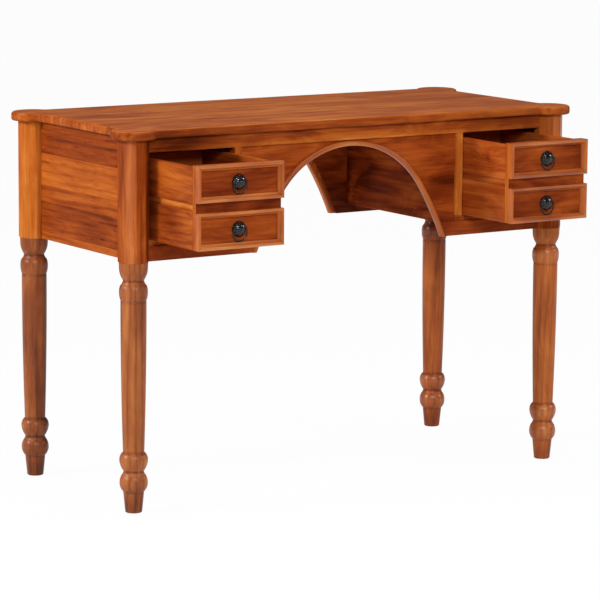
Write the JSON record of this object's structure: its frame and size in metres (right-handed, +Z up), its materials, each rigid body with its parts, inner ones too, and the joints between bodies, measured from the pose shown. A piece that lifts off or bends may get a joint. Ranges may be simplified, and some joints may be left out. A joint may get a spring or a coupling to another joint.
{
  "type": "desk with drawers",
  "caption": "Wooden writing desk on turned legs, with an arched kneehole, a deep double-front drawer in each pedestal, ring pulls and rounded corner lobes on its top.",
  "frame": {"origin": "on the floor, in the middle of the four feet", "axes": "+X along the desk to the right of its front, +Y to the back, +Z up"},
  "size_m": [1.1, 0.65, 0.76],
  "materials": {
    "desk_wood": "satin lacquer",
    "drawer_wood": "satin lacquer",
    "dowel_wood": "bare",
    "pull_black": "gloss",
    "screw_steel": "zinc plated"
  },
  "bodies": {
    "desk": {"table_top": "desk_wood", "front_top_rail": "desk_wood", "back_top_rail": "desk_wood", "front_apron": "desk_wood", "back_board": "desk_wood", "front_arch_band": "desk_wood", "back_arch_band": "desk_wood", "frame_dowels": "dowel_wood", "top_screws": "screw_steel", "runner_screws": "screw_steel", "leg_front_left": "desk_wood", "leg_front_right": "desk_wood", "leg_back_left": "desk_wood", "leg_back_right": "desk_wood", "front_bottom_rail_left": "desk_wood", "side_panel_left": "desk_wood", "stile_left": "desk_wood", "inner_panel_left": "desk_wood", "pedestal_floor_left": "desk_wood", "runner_left_outer": "desk_wood", "runner_left_inner": "desk_wood", "front_bottom_rail_right": "desk_wood", "side_panel_right": "desk_wood", "stile_right": "desk_wood", "inner_panel_right": "desk_wood", "pedestal_floor_right": "desk_wood", "runner_right_outer": "desk_wood", "runner_right_inner": "desk_wood"},
    "drawer_left": {"drawer_left_front": "drawer_wood", "drawer_left_frame_upper": "drawer_wood", "drawer_left_frame_lower": "drawer_wood", "drawer_left_side_outer": "drawer_wood", "drawer_left_side_inner": "drawer_wood", "drawer_left_back": "drawer_wood", "drawer_left_bottom": "drawer_wood", "drawer_left_rosette_upper": "pull_black", "drawer_left_rosette_lower": "pull_black", "drawer_left_pull_screws": "screw_steel"},
    "ring_left_lower": {"drawer_left_ring_lower": "pull_black"},
    "ring_left_upper": {"drawer_left_ring_upper": "pull_black"},
    "drawer_right": {"drawer_right_front": "drawer_wood", "drawer_right_frame_upper": "drawer_wood", "drawer_right_frame_lower": "drawer_wood", "drawer_right_side_outer": "drawer_wood", "drawer_right_side_inner": "drawer_wood", "drawer_right_back": "drawer_wood", "drawer_right_bottom": "drawer_wood", "drawer_right_rosette_upper": "pull_black", "drawer_right_rosette_lower": "pull_black", "drawer_right_pull_screws": "screw_steel"},
    "ring_right_lower": {"drawer_right_ring_lower": "pull_black"},
    "ring_right_upper": {"drawer_right_ring_upper": "pull_black"}
  },
  "joints": [
    {"name": "drawer_left_slide", "type": "slide", "parent": "desk", "child": "drawer_left", "axis": [0, -1, 0], "range_m": [-0.18, 0.03]},
    {"name": "ring_left_lower_swing", "type": "hinge", "parent": "drawer_left", "child": "ring_left_lower", "pos_m": [-0.3765, -0.395, 0.5825], "axis": [-1, 0, 0], "range_deg": [-6, 150]},
    {"name": "ring_left_upper_swing", "type": "hinge", "parent": "drawer_left", "child": "ring_left_upper", "pos_m": [-0.3765, -0.395, 0.6745], "axis": [-1, 0, 0], "range_deg": [-6, 150]},
    {"name": "drawer_right_slide", "type": "slide", "parent": "desk", "child": "drawer_right", "axis": [0, -1, 0], "range_m": [-0.164, 0.046]},
    {"name": "ring_right_lower_swing", "type": "hinge", "parent": "drawer_right", "child": "ring_right_lower", "pos_m": [0.3765, -0.379, 0.5825], "axis": [-1, 0, 0], "range_deg": [-6, 150]},
    {"name": "ring_right_upper_swing", "type": "hinge", "parent": "drawer_right", "child": "ring_right_upper", "pos_m": [0.3765, -0.379, 0.6745], "axis": [-1, 0, 0], "range_deg": [-6, 150]}
  ]
}
